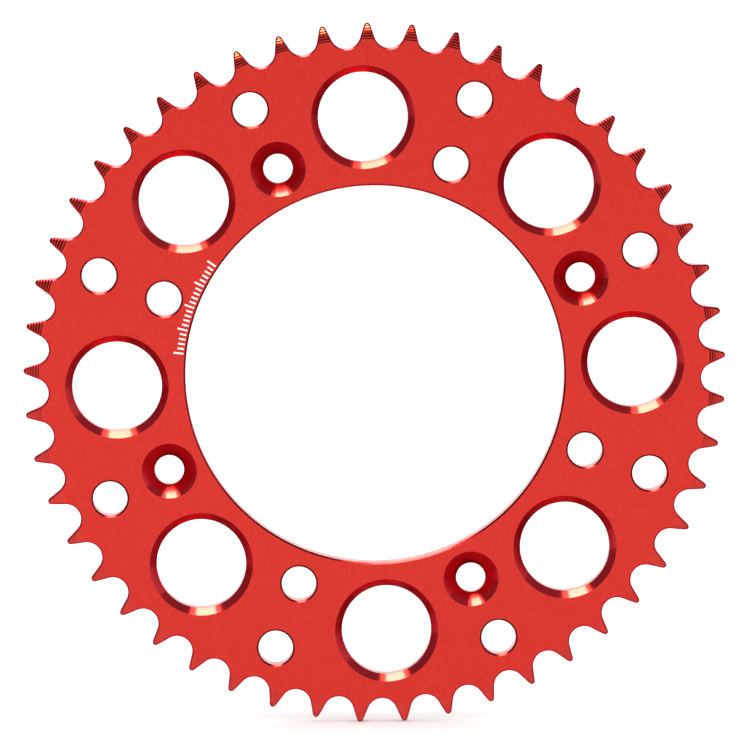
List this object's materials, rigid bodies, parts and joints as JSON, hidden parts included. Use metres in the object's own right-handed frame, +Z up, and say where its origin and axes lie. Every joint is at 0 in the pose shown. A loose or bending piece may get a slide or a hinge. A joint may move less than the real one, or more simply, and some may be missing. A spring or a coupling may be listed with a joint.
{
  "type": "motorcycle rear sprocket",
  "caption": "Flat ring sprocket plate with stepped tooth sides, a large centring bore, countersunk bolt holes and round lightening holes.",
  "frame": {"origin": "centre of the bore, half way between the plate's two faces", "axes": "+Y along the wheel's axis, out of the flat mounting face; -Y out of the countersunk front face; +Z up"},
  "size_m": [0.2039, 0.007, 0.2039],
  "materials": {
    "red_anodised": "fine satin, red anodised",
    "etched_mark": "pale laser-etched lines in the anodising"
  },
  "bodies": {
    "root": {"sprocket_plate": "red_anodised"}
  },
  "joints": []
}
